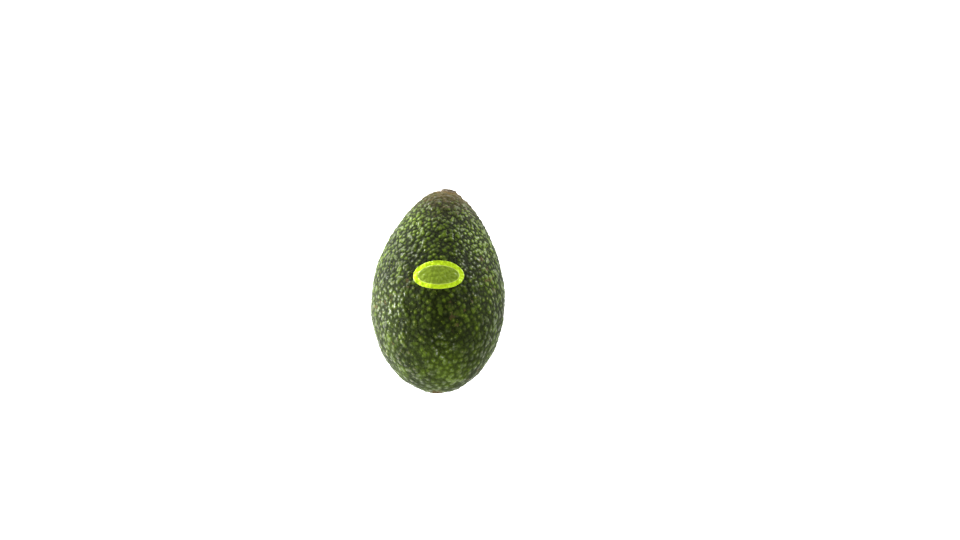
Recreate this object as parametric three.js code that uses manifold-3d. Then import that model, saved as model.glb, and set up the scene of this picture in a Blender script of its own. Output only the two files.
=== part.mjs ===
// A whole avocado lying on its side, as picked: the fruit, the woody button left where its stalk was clipped,
// and an oval fruit label. Millimetres, +Z up, stem end towards +Y. The origin lies on the surface that the
// fruit rests on, under the middle of the whole outline.

import * as THREE from "three";
import { mergeVertices } from "three/addons/utils/BufferGeometryUtils.js";
import Module from "manifold-3d";

// Fruit
const BODY_LENGTH = 107.4; // along Y, before the stem end is dished
const BODY_BREADTH = 68; // widest, along X
const BODY_DEPTH = 66; // widest, along Z, before the resting spot is flattened
const NECK_TAPER = 0.168; // how far the stem half is slimmer, and the blossom half fuller, than an ellipsoid
const END_SLIMMING = 0.127; // how far both ends are slimmer than an ellipsoid's
const NECK_LEAN = 2.6; // how far the stem end stands off the body's axis, towards +X
const NECK_DROOP = 4.4; // how far the stem end hangs below that axis, which keeps the weight over the resting spot
const NECK_BEND_POWER = 2.5; // 1 bends the whole body, more bends only the neck
const DISH_DEPTH = 2.6; // the shallow dish that the button stands in
const DISH_RADIUS = 6; // where that dish is down to 37% of its depth
const SWELLING_HEIGHT = 0.35; // broad unevenness of the flesh
const RESTING_SPOT_DEPTH = 0.35; // how much the underside is flattened where the fruit lies
const FRUIT_DETAIL = 17; // splits of each icosahedron edge: 20 * (detail + 1)^2 triangles

// Button
const BUTTON_ASIDE = 2.7; // how far it stands off the neck's own middle, towards +X
const BUTTON_FOOT_RADIUS = 5.2; // where it widens into the fruit
const BUTTON_NECK_RADIUS = 3.9; // at the clipped end
const BUTTON_PROUD = 2.9; // height above the bottom of the dish
const BUTTON_EDGE = 0.5; // rounding of the clipped end
const SOCKET_DEPTH = 1.6; // how far its foot is let into the fruit
const SEAT_CLEARANCE = 0.3; // gap all round the foot and under it
const BUTTON_SEGMENTS = 28;
const BUTTON_CURVE_POINTS = 6;

// Label
const LABEL_WIDTH = 26; // across the fruit
const LABEL_HEIGHT = 14.8; // along the fruit
const LABEL_THICKNESS = 0.3;
const LABEL_CLEARANCE = 0.3; // gap to the skin
const LABEL_ALONG = -0.35; // its middle, from the middle of the body, towards the stem
const LABEL_TURN = THREE.MathUtils.degToRad(1); // its middle, round from straight up, towards +X
const LABEL_SPOKES = 40;
const LABEL_RINGS = 5;

const HALF = new THREE.Vector3(BODY_BREADTH, BODY_LENGTH, BODY_DEPTH).multiplyScalar(0.5);
const ALONG = new THREE.Vector3(0, 1, 0);

const wasm = await Module();
wasm.setup();

// Section radius at a place along the axis, as a share of the half breadth of an ellipsoid there.
// `along` runs from -1 at the blossom end to 1 at the stem end.
function taperAt(along) {
  return 1 - NECK_TAPER * along - END_SLIMMING * along * along;
}

// The fullest section's radius, which taperAt is divided by so that BODY_BREADTH is the true breadth.
const FULLEST = (() => {
  const steps = 400;
  let fullest = 0;
  for (let i = 0; i <= steps; i++) {
    const along = (2 * i) / steps - 1;
    fullest = Math.max(fullest, Math.sqrt(1 - along * along) * taperAt(along));
  }
  return fullest;
})();

// Three long waves that run over the fruit in different directions, from -1 to 1.
function swelling({ x, y, z }) {
  return (
    (Math.sin(5.1 * x + 1.3 * y) + Math.sin(4.3 * z - 3.6 * y + 1.7) + Math.sin(3.7 * x - 4.9 * z + 0.6)) / 3
  );
}

// A point of the plain body for a unit direction: an ellipsoid tapered towards the stem.
function bodyPoint(direction) {
  const swell = taperAt(direction.y) / FULLEST;
  return direction.clone().multiply(HALF).multiply(new THREE.Vector3(swell, 1, swell));
}

// The half breadth of the ellipsoid that the stem end's tip belongs to.
const RADIUS_AT_TIP = (HALF.x * taperAt(1)) / FULLEST;

// Where the stalk joined: the direction, and the plain body's point, in the middle of the dish.
const STALK_DIRECTION = new THREE.Vector3(BUTTON_ASIDE / RADIUS_AT_TIP, 1, 0).normalize();
const STALK_POINT = bodyPoint(STALK_DIRECTION);

// The skin's point for a unit direction: the plain body with its stem end dished, its neck bent aside and
// down, and its flesh a little uneven.
function skinPoint(direction) {
  const point = bodyPoint(direction);
  point.y -= DISH_DEPTH * Math.exp(-((point.distanceTo(STALK_POINT) / DISH_RADIUS) ** 2));
  const bend = Math.pow((1 + direction.y) / 2, NECK_BEND_POWER);
  point.x += NECK_LEAN * bend;
  point.z -= NECK_DROOP * bend;
  return point.addScaledVector(direction, SWELLING_HEIGHT * swelling(direction));
}

// The skin's outward normal, from two short steps over the surface.
function skinNormal(direction) {
  const step = 1e-3;
  const aside = new THREE.Vector3(direction.z, 0, -direction.x).normalize();
  const forward = new THREE.Vector3().crossVectors(direction, aside);
  const here = skinPoint(direction);
  const stepped = [aside, forward].map((way) =>
    skinPoint(direction.clone().addScaledVector(way, step).normalize()).sub(here),
  );
  return new THREE.Vector3().crossVectors(stepped[0], stepped[1]).normalize();
}

// A geometry that holds positions and triangles only.
function geometryOf(positions, index) {
  const geometry = new THREE.BufferGeometry();
  geometry.setAttribute("position", new THREE.Float32BufferAttribute(positions, 3));
  geometry.setIndex(index);
  return geometry;
}

// A copy with its shared vertices merged, as a closed solid needs.
function merged(geometry) {
  const bare = geometry.clone();
  bare.deleteAttribute("normal");
  bare.deleteAttribute("uv");
  return mergeVertices(bare, 1e-4);
}

function solidFrom(geometry) {
  const closed = merged(geometry);
  return new wasm.Manifold(
    new wasm.Mesh({
      numProp: 3,
      vertProperties: new Float32Array(closed.attributes.position.array),
      triVerts: new Uint32Array(closed.index.array),
    }),
  );
}

function geometryFrom(solid) {
  const mesh = solid.getMesh();
  return geometryOf(Array.from(mesh.vertProperties), Array.from(mesh.triVerts));
}

// The whole fruit before anything is cut from it: a geodesic sphere with each vertex moved to the skin.
function wholeFruit() {
  const geometry = merged(new THREE.IcosahedronGeometry(1, FRUIT_DETAIL));
  const places = geometry.attributes.position;
  const direction = new THREE.Vector3();
  for (let i = 0; i < places.count; i++) {
    direction.fromBufferAttribute(places, i).normalize();
    places.setXYZ(i, ...skinPoint(direction).toArray());
  }
  return geometry;
}

// The block that flattens the underside, just deep enough to leave the small resting spot.
function restingBlock(fruitGeometry) {
  fruitGeometry.computeBoundingBox();
  const { min, max } = fruitGeometry.boundingBox;
  const size = max.clone().sub(min);
  const block = new THREE.BoxGeometry(2 * size.x, 2 * size.y, size.z);
  return block.translate(0, 0, min.z + RESTING_SPOT_DEPTH - size.z / 2);
}

// Moves a shape made round the Y axis, with the skin at height 0, to the bottom of the dish and square to it.
function stoodInDish(geometry) {
  const upright = new THREE.Quaternion().setFromUnitVectors(ALONG, skinNormal(STALK_DIRECTION));
  const seat = skinPoint(STALK_DIRECTION);
  return geometry.applyQuaternion(upright).translate(seat.x, seat.y, seat.z);
}

// The pocket that the button's foot sits in.
function buttonSocket() {
  const above = BUTTON_PROUD;
  const radius = BUTTON_FOOT_RADIUS + SEAT_CLEARANCE;
  const socket = new THREE.CylinderGeometry(radius, radius, SOCKET_DEPTH + above, BUTTON_SEGMENTS);
  return stoodInDish(socket.translate(0, (above - SOCKET_DEPTH) / 2, 0));
}

function makeFruit() {
  const whole = wholeFruit();
  const solid = solidFrom(whole).subtract(solidFrom(restingBlock(whole))).subtract(solidFrom(buttonSocket()));
  return geometryFrom(solid);
}

// The button: a foot let into the fruit, drawn in to a short neck with a clipped, lightly rounded end.
function makeButton() {
  const foot = SOCKET_DEPTH - SEAT_CLEARANCE;
  const top = foot + BUTTON_PROUD;
  const outline = new THREE.Path()
    .moveTo(0, 0)
    .lineTo(BUTTON_FOOT_RADIUS, 0)
    .lineTo(BUTTON_FOOT_RADIUS, foot)
    .bezierCurveTo(
      BUTTON_FOOT_RADIUS, foot + BUTTON_PROUD * 0.35,
      BUTTON_NECK_RADIUS, foot + BUTTON_PROUD * 0.25,
      BUTTON_NECK_RADIUS, top - BUTTON_EDGE,
    )
    .quadraticCurveTo(BUTTON_NECK_RADIUS, top, BUTTON_NECK_RADIUS - BUTTON_EDGE, top)
    .lineTo(0, top);
  const turned = new THREE.LatheGeometry(outline.getPoints(BUTTON_CURVE_POINTS), BUTTON_SEGMENTS);
  return stoodInDish(turned.translate(0, -foot, 0));
}

// The direction of a label point, from its distances across and along from the label's middle.
function labelDirection(across, along) {
  const y = (LABEL_ALONG + along) / HALF.y;
  const turn = LABEL_TURN + across / HALF.x;
  const ring = Math.sqrt(1 - y * y);
  return new THREE.Vector3(ring * Math.sin(turn), y, ring * Math.cos(turn));
}

// The label: an oval sheet that follows the skin a short way above it. Each layer is a middle point and
// rings of points round it, and a band of triangles closes the rim.
function makeLabel() {
  const positions = [];
  const index = [];
  const layerSize = 1 + LABEL_RINGS * LABEL_SPOKES;
  for (const lift of [LABEL_CLEARANCE, LABEL_CLEARANCE + LABEL_THICKNESS]) {
    const place = (across, along) => {
      const direction = labelDirection(across, along);
      positions.push(...skinPoint(direction).addScaledVector(skinNormal(direction), lift).toArray());
    };
    place(0, 0);
    for (let ring = 1; ring <= LABEL_RINGS; ring++) {
      for (let spoke = 0; spoke < LABEL_SPOKES; spoke++) {
        const share = ring / LABEL_RINGS;
        const angle = (2 * Math.PI * spoke) / LABEL_SPOKES;
        place((share * LABEL_WIDTH * Math.cos(angle)) / 2, (share * LABEL_HEIGHT * Math.sin(angle)) / 2);
      }
    }
  }
  // `under` and `over` are the same point's numbers in the two layers.
  const under = (ring, spoke) => (ring === 0 ? 0 : 1 + (ring - 1) * LABEL_SPOKES + (spoke % LABEL_SPOKES));
  const over = (ring, spoke) => layerSize + under(ring, spoke);
  for (let spoke = 0; spoke < LABEL_SPOKES; spoke++) {
    for (let ring = 0; ring < LABEL_RINGS; ring++) {
      for (const [at, flip] of [[under, false], [over, true]]) {
        const near = [at(ring, spoke), at(ring, spoke + 1)];
        const far = [at(ring + 1, spoke), at(ring + 1, spoke + 1)];
        const faces = [[near[0], far[0], far[1]]];
        if (ring > 0) faces.push([near[0], far[1], near[1]]);
        for (const face of faces) index.push(...(flip ? face : face.reverse()));
      }
    }
    const low = [under(LABEL_RINGS, spoke), under(LABEL_RINGS, spoke + 1)];
    const high = [over(LABEL_RINGS, spoke), over(LABEL_RINGS, spoke + 1)];
    index.push(low[0], low[1], high[1], low[0], high[1], high[0]);
  }
  return geometryOf(positions, index);
}

function nodeOf(name, geometry, material) {
  const mesh = new THREE.Mesh(geometry, material);
  mesh.name = name;
  return mesh;
}

const skin = new THREE.MeshStandardMaterial({ color: 0x3d5222, roughness: 0.45, metalness: 0 });
const wood = new THREE.MeshStandardMaterial({ color: 0x8a6a48, roughness: 0.85, metalness: 0 });
const paper = new THREE.MeshStandardMaterial({ color: 0xa3cf1f, roughness: 0.4, metalness: 0 });

const avocado = new THREE.Group();
avocado.add(
  nodeOf("fruit", makeFruit(), skin),
  nodeOf("stem_button", makeButton(), wood),
  nodeOf("label", makeLabel(), paper),
);

// Stands the group on its resting spot, with the origin under the middle of its outline.
const outline = new THREE.Box3().setFromObject(avocado);
const middle = outline.getCenter(new THREE.Vector3());
for (const mesh of avocado.children) mesh.position.set(-middle.x, -middle.y, -outline.min.z);

export default avocado;
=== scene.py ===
"""A whole avocado lying on its side: pebbled skin, the woody button of its stalk, and an oval label.

Lengths are in millimetres, +Z up and the stem end towards +Y, until a mesh is made, which is in
metres. Every shape is a function of two parameters, worked out for the whole grid at once.
"""

import logging
import math
import sys
from dataclasses import dataclass, field
from enum import Enum

import bpy
import numpy as np
import numpy.typing as npt
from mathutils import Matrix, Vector

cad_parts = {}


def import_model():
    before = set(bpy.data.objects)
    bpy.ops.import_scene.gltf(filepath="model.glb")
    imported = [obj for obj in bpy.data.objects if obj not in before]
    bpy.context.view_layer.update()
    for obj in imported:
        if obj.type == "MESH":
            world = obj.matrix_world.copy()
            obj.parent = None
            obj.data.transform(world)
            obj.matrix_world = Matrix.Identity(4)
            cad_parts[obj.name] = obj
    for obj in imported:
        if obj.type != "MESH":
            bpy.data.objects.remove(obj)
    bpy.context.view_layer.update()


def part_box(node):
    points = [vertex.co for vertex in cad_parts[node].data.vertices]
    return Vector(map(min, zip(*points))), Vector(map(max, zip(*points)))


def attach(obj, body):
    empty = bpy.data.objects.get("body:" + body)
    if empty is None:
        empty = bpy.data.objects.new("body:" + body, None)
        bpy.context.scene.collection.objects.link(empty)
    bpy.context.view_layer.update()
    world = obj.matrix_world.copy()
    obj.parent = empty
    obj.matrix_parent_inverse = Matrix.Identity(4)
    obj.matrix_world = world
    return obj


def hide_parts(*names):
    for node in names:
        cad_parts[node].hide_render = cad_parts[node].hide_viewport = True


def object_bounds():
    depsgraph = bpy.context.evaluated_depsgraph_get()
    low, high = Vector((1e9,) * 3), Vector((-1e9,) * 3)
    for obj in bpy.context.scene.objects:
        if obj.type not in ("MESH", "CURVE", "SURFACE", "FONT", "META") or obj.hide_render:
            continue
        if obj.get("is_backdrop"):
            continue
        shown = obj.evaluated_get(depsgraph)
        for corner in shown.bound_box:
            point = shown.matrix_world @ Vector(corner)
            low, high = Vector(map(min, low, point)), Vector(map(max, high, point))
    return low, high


Array = npt.NDArray[np.float64]
Indices = npt.NDArray[np.int64]
Colour = tuple[float, float, float]
Tint = tuple[int, int, int]
Paint = tuple[float, float, float, float]
Socket = bpy.types.NodeSocket

MM = 0.001
BODY = "root"

log = logging.getLogger("avocado")


# --------------------------------------------------------------------------------------------------
# Arithmetic on whole arrays
# --------------------------------------------------------------------------------------------------


def unit(vectors: Array) -> Array:
    """Each vector divided by its own length."""
    return vectors / np.linalg.norm(vectors, axis=-1, keepdims=True)


def ease(low: float, high: float, values: Array) -> Array:
    """A smooth step: 0 below low, 1 above high, and 3t^2 - 2t^3 of the share t of the way between.

    Args:
        low: Where the step starts. It may be above high, which turns the step round.
        high: Where the step ends.
        values: The values to ease.

    Returns:
        The eased values, from 0 to 1.
    """
    share = np.clip((values - low) / (high - low), 0.0, 1.0)
    return share * share * (3.0 - 2.0 * share)


def waves(points: Array, wavelength: float, seed: int, count: int = 14) -> Array:
    """Soft unevenness: plane sine waves in random directions, at about one wavelength, added up.

    The sum of sin(place . way * 2 pi / length + phase) over the waves, times sqrt(2 / count).

    Args:
        points: Places, in millimetres.
        wavelength: The mean length of a wave, in millimetres.
        seed: Seed of the directions and phases.
        count: How many waves are added.

    Returns:
        One value for each place, mostly from -1 to 1.
    """
    random = np.random.default_rng(seed)
    ways = unit(random.normal(size=(count, 3)))
    pitch = 2.0 * np.pi / (wavelength * random.uniform(0.7, 1.4, count))
    phases = random.uniform(0.0, 2.0 * np.pi, count)
    return np.sin(points @ (ways * pitch[:, None]).T + phases).sum(axis=-1) * math.sqrt(2.0 / count)


def turned_upright(points: Array, upright: Array) -> Array:
    """Points turned by the shortest turn that takes +Y to a unit vector (Rodrigues' formula).

    Args:
        points: Places round the origin, with +Y as their axis.
        upright: The unit vector that the axis turns to.

    Returns:
        The turned places.
    """
    axis = np.array([0.0, 1.0, 0.0])
    cross = np.cross(axis, upright)
    skew = np.array(
        [[0.0, -cross[2], cross[1]], [cross[2], 0.0, -cross[0]], [-cross[1], cross[0], 0.0]]
    )
    turn = np.eye(3) + skew + skew @ skew / (1.0 + axis @ upright)
    return points @ turn.T


# --------------------------------------------------------------------------------------------------
# Meshes
# --------------------------------------------------------------------------------------------------


@dataclass
class Surface:
    """A closed surface on one or more grids, with values at its points.

    Attributes:
        points: Places, in millimetres, one row each.
        quads: Four point numbers for each face, anticlockwise from outside.
        values: Named values at the points, one number or one vector each.
    """

    points: Array
    quads: Indices
    values: dict[str, Array] = field(default_factory=dict)

    def welded(self, places: Array, digits: int) -> "Surface":
        """The surface with its coinciding points joined, so that seams and poles are closed.

        Args:
            places: What has to coincide for two points to be one, a row for each point.
            digits: Decimal places to which they have to agree.

        Returns:
            The welded surface.
        """
        _, first, number = np.unique(
            np.round(places, digits) + 0.0, axis=0, return_index=True, return_inverse=True
        )
        quads = number.reshape(-1)[self.quads]
        values = {name: value[first] for name, value in self.values.items()}
        return Surface(self.points[first], quads, values)

    def mesh(self, name: str) -> bpy.types.Mesh:
        """A smooth mesh of the surface, in metres. A quad with two coinciding corners becomes a triangle.

        Args:
            name: The mesh's name.

        Returns:
            The mesh, with each named value as a point attribute.
        """
        quads = self.quads
        repeats = quads == np.roll(quads, -1, axis=1)
        whole = quads[~repeats.any(axis=1)]
        pinched = quads[repeats.sum(axis=1) == 1]
        spare = repeats[repeats.sum(axis=1) == 1].argmax(axis=1)
        keep = (spare[:, None] + np.arange(1, 4)) % 4
        triangles = np.take_along_axis(pinched, keep, axis=1)
        mesh = bpy.data.meshes.new(name)
        faces = whole.tolist() + triangles.tolist()
        mesh.from_pydata((self.points * MM).tolist(), [], faces)
        mesh.polygons.foreach_set("use_smooth", np.ones(len(faces), bool))
        for title, value in self.values.items():
            kind, key = ("FLOAT", "value") if value.ndim == 1 else ("FLOAT_VECTOR", "vector")
            attribute = mesh.attributes.new(title, kind, "POINT")
            attribute.data.foreach_set(key, value.astype(np.float32).ravel())
        mesh.update()
        mesh.validate()
        return mesh


def grid_quads(rows: int, columns: int, wraps: bool) -> Indices:
    """The faces of a grid whose points are numbered row by row.

    Args:
        rows: Number of rows of points.
        columns: Number of points in a row.
        wraps: Whether the last column is joined to the first.

    Returns:
        Point numbers of each quad, in the order (r, c), (r, c+1), (r+1, c+1), (r+1, c).
    """
    row, column = np.meshgrid(
        np.arange(rows - 1), np.arange(columns if wraps else columns - 1), indexing="ij"
    )
    after = (column + 1) % columns
    corners = [
        row * columns + column,
        row * columns + after,
        (row + 1) * columns + after,
        (row + 1) * columns + column,
    ]
    return np.stack(corners, axis=-1).reshape(-1, 4)


def placed(name: str, mesh: bpy.types.Mesh, finish: bpy.types.Material) -> bpy.types.Object:
    """An object at the origin with that mesh and finish, linked into the scene."""
    piece = bpy.data.objects.new(name, mesh)
    mesh.materials.append(finish)
    bpy.context.scene.collection.objects.link(piece)
    return piece


# --------------------------------------------------------------------------------------------------
# Shader wiring
# --------------------------------------------------------------------------------------------------


def linear(tint: Tint) -> Paint:
    """A display colour, 0 to 255 for each part, as the linear colour that a socket takes.

    The display curve undone: share / 12.92 where the share is dark, else ((share + 0.055) / 1.055)^2.4.
    """
    shares = [part / 255.0 for part in tint]
    parts = [share / 12.92 if share <= 0.04045 else ((share + 0.055) / 1.055) ** 2.4 for share in shares]
    return (parts[0], parts[1], parts[2], 1.0)


def grey(level: float) -> Paint:
    """A linear grey of that level."""
    return (level, level, level, 1.0)


def identified(sockets: bpy.types.bpy_prop_collection, identifier: str) -> Socket:
    """The socket with that identifier, for nodes whose sockets share a name."""
    return next(socket for socket in sockets if socket.identifier == identifier)


@dataclass
class Wiring:
    """A node tree with short calls for the nodes that the finishes use."""

    tree: bpy.types.NodeTree

    def node(self, kind: str, **settings: object) -> bpy.types.Node:
        """A new node with some of its properties set."""
        made = self.tree.nodes.new(kind)
        for name, value in settings.items():
            setattr(made, name, value)
        return made

    def feed(self, socket: Socket, value: object) -> None:
        """Links a socket to an output, or sets it to a number, vector or colour."""
        if isinstance(value, bpy.types.NodeSocket):
            self.tree.links.new(value, socket)
        else:
            socket.default_value = value

    def attribute(self, name: str, vector: bool = False) -> Socket:
        """A value stored at the mesh's points."""
        made = self.node("ShaderNodeAttribute", attribute_name=name)
        return made.outputs["Vector" if vector else "Fac"]

    def millimetres(self) -> Socket:
        """Object coordinates in millimetres."""
        mapping = self.node("ShaderNodeMapping")
        self.feed(mapping.inputs["Vector"], self.node("ShaderNodeTexCoord").outputs["Object"])
        mapping.inputs["Scale"].default_value = (1.0 / MM,) * 3
        return mapping.outputs["Vector"]

    def math(self, operation: str, *terms: object) -> Socket:
        """One arithmetic step on numbers."""
        made = self.node("ShaderNodeMath", operation=operation)
        for socket, term in zip(made.inputs, terms):
            self.feed(socket, term)
        return made.outputs["Value"]

    def plus(self, first: object, second: object) -> Socket:
        """The sum of two numbers."""
        return self.math("ADD", first, second)

    def less(self, first: object, second: object) -> Socket:
        """The first number less the second."""
        return self.math("SUBTRACT", first, second)

    def times(self, first: object, second: object) -> Socket:
        """The product of two numbers."""
        return self.math("MULTIPLY", first, second)

    def over(self, first: object, second: object) -> Socket:
        """The first number divided by the second."""
        return self.math("DIVIDE", first, second)

    def larger(self, first: object, second: object) -> Socket:
        """The larger of two numbers."""
        return self.math("MAXIMUM", first, second)

    def line(self, value: object, slope: object, start: object) -> Socket:
        """A number times a slope, plus a start."""
        return self.math("MULTIPLY_ADD", value, slope, start)

    def step(
        self, value: object, low: object, high: object, at_low: float = 0.0, at_high: float = 1.0
    ) -> Socket:
        """A smooth step of a number from one range to another.

        Args:
            value: The number.
            low: Where the step starts. It may be above high, which turns the step round.
            high: Where the step ends.
            at_low: What it gives where it starts.
            at_high: What it gives where it ends.

        Returns:
            The stepped number.
        """
        made = self.node("ShaderNodeMapRange", interpolation_type="SMOOTHSTEP")
        ends = {"Value": value, "From Min": low, "From Max": high, "To Min": at_low, "To Max": at_high}
        for name, item in ends.items():
            self.feed(made.inputs[name], item)
        return made.outputs["Result"]

    def lay(self, under: object, over: object, share: object) -> Socket:
        """One colour laid on another, as strongly as a share says."""
        made = self.node("ShaderNodeMix", data_type="RGBA")
        for name, item in (("Factor_Float", share), ("A_Color", under), ("B_Color", over)):
            self.feed(identified(made.inputs, name), item)
        return identified(made.outputs, "Result_Color")

    def blend(self, first: object, second: object, share: object) -> Socket:
        """A number between two numbers, at a share of the way from the first to the second."""
        made = self.node("ShaderNodeMix", data_type="FLOAT")
        for name, item in (("Factor_Float", share), ("A_Float", first), ("B_Float", second)):
            self.feed(identified(made.inputs, name), item)
        return identified(made.outputs, "Result_Float")

    def noise(self, place: object, scale: object, detail: float = 3.0, roughness: float = 0.55) -> Socket:
        """Fractal noise, from 0 to 1, with that many features to the unit of its coordinates."""
        made = self.node("ShaderNodeTexNoise")
        given = {"Vector": place, "Scale": scale, "Detail": detail, "Roughness": roughness}
        for name, item in given.items():
            self.feed(made.inputs[name], item)
        return made.outputs["Fac"]

    def cells(self, place: object, scale: object, feature: str) -> bpy.types.Node:
        """Cellular noise with that many cells to the unit of its coordinates."""
        made = self.node("ShaderNodeTexVoronoi", feature=feature)
        self.feed(made.inputs["Vector"], place)
        self.feed(made.inputs["Scale"], scale)
        return made

    def length_of(self, vector: object) -> Socket:
        """A vector's length."""
        made = self.node("ShaderNodeVectorMath", operation="LENGTH")
        self.feed(made.inputs["Vector"], vector)
        return made.outputs["Value"]

    def group(self, tree: bpy.types.NodeTree, **values: object) -> Socket:
        """The one output of a shared effect, with its inputs fed by name."""
        made = self.node("ShaderNodeGroup")
        made.node_tree = tree
        for name, value in values.items():
            self.feed(made.inputs[name], value)
        return made.outputs[0]

    def bump(self, height: object, strength: float, distance: float, under: object = None) -> Socket:
        """A normal roughened by a height. The distance is in millimetres."""
        made = self.node("ShaderNodeBump")
        made.inputs["Strength"].default_value = strength
        made.inputs["Distance"].default_value = distance * MM
        self.feed(made.inputs["Height"], height)
        if under is not None:
            self.feed(made.inputs["Normal"], under)
        return made.outputs["Normal"]


@dataclass
class SharedEffects:
    """The effects that more than one finish uses, each built once as a node group."""

    mottling: bpy.types.NodeTree = field(init=False)
    grain: bpy.types.NodeTree = field(init=False)
    dust: bpy.types.NodeTree = field(init=False)

    def __post_init__(self) -> None:
        """Builds the groups."""
        self.mottling = self._mottling()
        self.grain = self._grain()
        self.dust = self._dust()

    @staticmethod
    def _started(
        name: str, output: str, **numbers: float
    ) -> tuple[Wiring, bpy.types.bpy_prop_collection, Socket]:
        """A group with its sockets made: a place and some numbers in, and one number out.

        Args:
            name: The group's name.
            output: The output's name.
            numbers: The starting value of each number.

        Returns:
            The group's wiring, what it is given, and the socket for its result.
        """
        tree = bpy.data.node_groups.new(name, "ShaderNodeTree")
        tree.interface.new_socket("Place", in_out="INPUT", socket_type="NodeSocketVector")
        for title, value in numbers.items():
            socket = tree.interface.new_socket(title, in_out="INPUT", socket_type="NodeSocketFloat")
            socket.default_value = value
        tree.interface.new_socket(output, in_out="OUTPUT", socket_type="NodeSocketFloat")
        wiring = Wiring(tree)
        given = wiring.node("NodeGroupInput").outputs
        return wiring, given, wiring.node("NodeGroupOutput").inputs[output]

    def _mottling(self) -> bpy.types.NodeTree:
        """Patches with soft, broken edges: coarse noise and a share of fine noise, stepped at a level."""
        wiring, given, result = self._started(
            "mottling", "Mask", Scale=0.1, Breaking=0.25, Level=0.5, Softness=0.08
        )
        finer = 7.0
        coarse = wiring.noise(given["Place"], given["Scale"], 3.0, 0.5)
        fine = wiring.noise(given["Place"], wiring.times(given["Scale"], finer), 3.0, 0.5)
        height = wiring.plus(coarse, wiring.times(wiring.less(fine, 0.5), given["Breaking"]))
        low = wiring.less(given["Level"], given["Softness"])
        high = wiring.plus(given["Level"], given["Softness"])
        wiring.feed(result, wiring.step(height, low, high))
        return wiring.tree

    def mottled(
        self, wiring: Wiring, place: Socket, scale: float, breaking: float, level: float, softness: float
    ) -> Socket:
        """The mask of one finish's mottling.

        Args:
            wiring: The finish's wiring.
            place: Where it is, in millimetres.
            scale: Patches to the millimetre.
            breaking: How broken their edges are.
            level: How rare they are: 0.5 covers half.
            softness: Half the width of an edge, in the noise's own steps.

        Returns:
            1 in the patches and 0 between them.
        """
        values = {"Scale": scale, "Breaking": breaking, "Level": level, "Softness": softness}
        return wiring.group(self.mottling, Place=place, **values)

    def _grain(self) -> bpy.types.NodeTree:
        """Fine unevenness: noise of a given pitch, with smaller cellular pits mixed in."""
        wiring, given, result = self._started("grain", "Height", Scale=2.0, Pitting=0.4)
        smaller = 1.6
        rough = wiring.noise(given["Place"], given["Scale"], 4.0, 0.5)
        pits = wiring.cells(given["Place"], wiring.times(given["Scale"], smaller), "SMOOTH_F1")
        domes = wiring.less(1.0, pits.outputs["Distance"])
        wiring.feed(result, wiring.blend(rough, domes, given["Pitting"]))
        return wiring.tree

    def _dust(self) -> bpy.types.NodeTree:
        """Tiny scattered specks: the middles of random cells, kept where the cell's own value is high."""
        wiring, given, result = self._started("dust", "Mask", Scale=1.0, Size=0.2, Rarity=0.6)
        cells = wiring.cells(given["Place"], given["Scale"], "F1")
        chance = wiring.node("ShaderNodeSeparateColor")
        wiring.feed(chance.inputs["Color"], cells.outputs["Color"])
        kept = wiring.math("GREATER_THAN", chance.outputs["Red"], given["Rarity"])
        own_size = wiring.times(given["Size"], wiring.plus(chance.outputs["Green"], 0.5))
        near = wiring.less(1.0, wiring.over(cells.outputs["Distance"], own_size))
        wiring.feed(result, wiring.times(wiring.step(near, 0.0, 0.5), kept))
        return wiring.tree


def started_finish(name: str) -> tuple[bpy.types.Material, Wiring, bpy.types.Node]:
    """A new material with a plain Principled shader.

    Args:
        name: The material's name.

    Returns:
        The material, its wiring and its shader node.
    """
    material = bpy.data.materials.new(name)
    material.use_nodes = True
    return material, Wiring(material.node_tree), material.node_tree.nodes["Principled BSDF"]


# --------------------------------------------------------------------------------------------------
# The fruit's form
# --------------------------------------------------------------------------------------------------


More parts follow.
